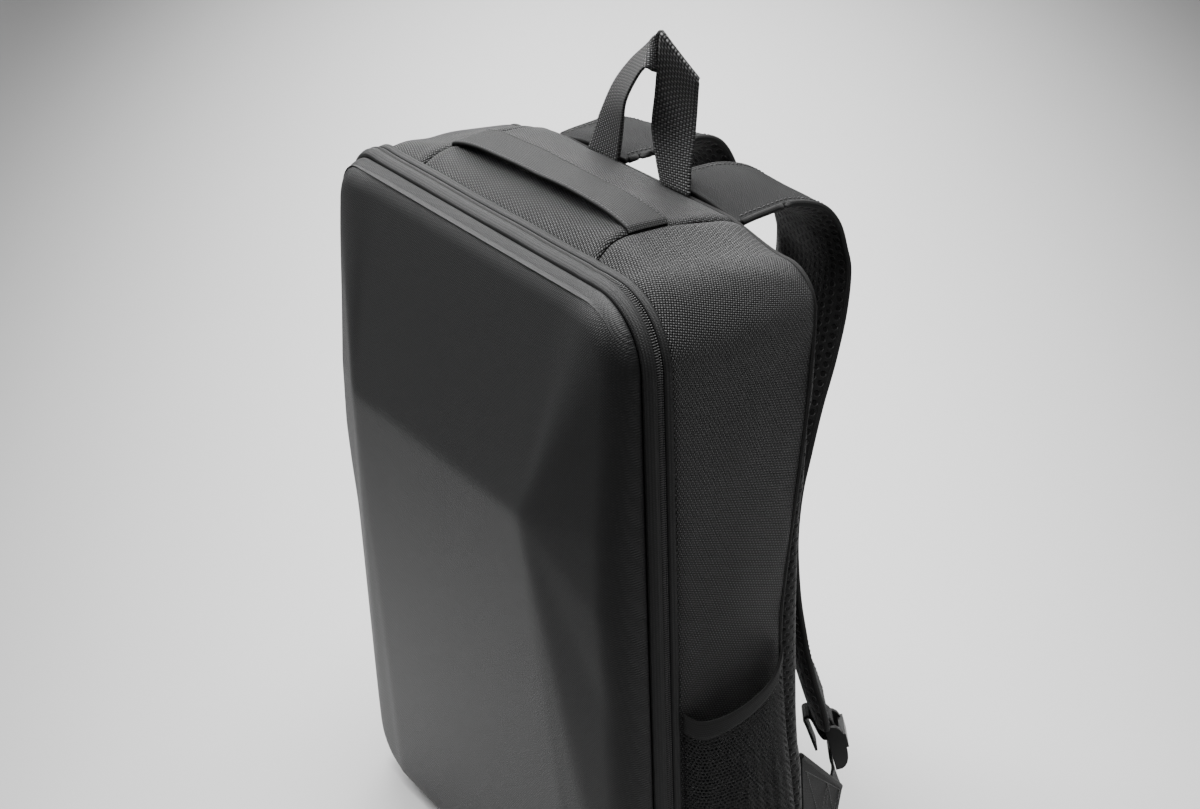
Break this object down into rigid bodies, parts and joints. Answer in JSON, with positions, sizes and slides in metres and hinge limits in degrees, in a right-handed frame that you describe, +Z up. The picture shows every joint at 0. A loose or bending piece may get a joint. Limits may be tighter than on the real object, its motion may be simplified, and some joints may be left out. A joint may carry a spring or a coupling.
{
  "type": "hard shell backpack",
  "caption": "Upright backpack with a faceted moulded front shell, a zipped cloth body, a flat top handle, a webbing hang loop, padded shoulder straps and mesh side pockets.",
  "frame": {"origin": "on the floor under the middle of the cloth body, where the bag stands", "axes": "+Z up, -Y out of the hard shell, +Y towards the wearer's back, +X to the shell's right as seen from the front"},
  "size_m": [0.341, 0.2326, 0.5231],
  "materials": {
    "shell": "satin, faint diagonal woven film",
    "cloth": "dense ballistic weave",
    "tape": "fine knit zip tape",
    "coil": "black zip teeth",
    "mesh": "black air mesh",
    "webbing": "ribbed webbing",
    "plastic": "satin moulded",
    "slider_metal": "dark satin coat"
  },
  "bodies": {
    "root": {"front_shell": "shell", "zip_tape_front": "tape", "zip_tape_rear": "tape", "zip_coil": "coil", "top_panel": "cloth", "side_panel_right": "cloth", "side_panel_left": "cloth", "bottom_panel": "cloth", "back_panel": "mesh", "top_handle": "webbing", "hang_loop": "webbing", "shoulder_strap_right": "cloth", "shoulder_strap_left": "cloth", "anchor_loop_right": "webbing", "anchor_loop_left": "webbing", "adjusting_webbing_right": "webbing", "adjusting_webbing_left": "webbing", "strap_wing_right": "cloth", "strap_wing_left": "cloth", "ladder_lock_right": "plastic", "ladder_lock_left": "plastic", "mesh_pocket_right": "mesh", "mesh_pocket_left": "mesh", "pocket_binding_right": "cloth", "pocket_binding_left": "cloth", "zip_slider_upper": "slider_metal", "zip_slider_lower": "slider_metal", "zip_pull_upper": "webbing", "zip_pull_lower": "webbing"}
  },
  "joints": []
}
